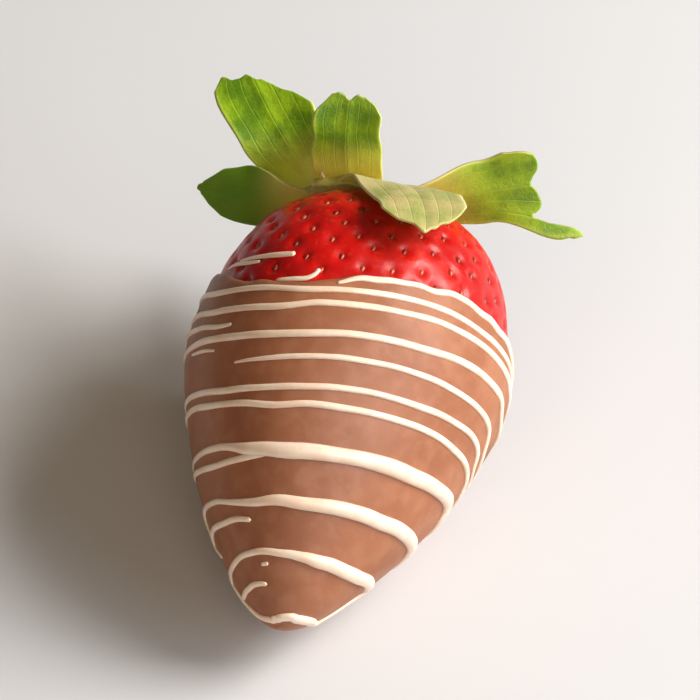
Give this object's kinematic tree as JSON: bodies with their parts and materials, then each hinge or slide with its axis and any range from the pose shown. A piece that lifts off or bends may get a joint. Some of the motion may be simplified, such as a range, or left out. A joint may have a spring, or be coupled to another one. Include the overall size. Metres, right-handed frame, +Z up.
{
  "type": "chocolate coated strawberry",
  "caption": "Large strawberry dipped in milk chocolate with pale drizzled stripes, red shoulders and a green leafy cap, lying on its side.",
  "frame": {"origin": "middle of the small flat foot that the berry lies on", "axes": "+Z up, tip towards -Y and dipping, leafy cap towards +Y and up"},
  "size_m": [0.0468, 0.0663, 0.0445],
  "materials": {
    "strawberry_flesh": "gloss",
    "milk_chocolate": "satin",
    "leaf_green": "matte",
    "stalk_green": "matte",
    "white_chocolate": "satin",
    "seed": "matte"
  },
  "bodies": {
    "root": {"strawberry": "strawberry_flesh", "chocolate_coat": "milk_chocolate", "stalk": "stalk_green", "sepal_01": "leaf_green", "sepal_02": "leaf_green", "sepal_03": "leaf_green", "sepal_04": "leaf_green", "sepal_05": "leaf_green", "sepal_06": "leaf_green", "sepal_07": "leaf_green", "sepal_08": "leaf_green", "sepal_09": "leaf_green"}
  },
  "joints": []
}
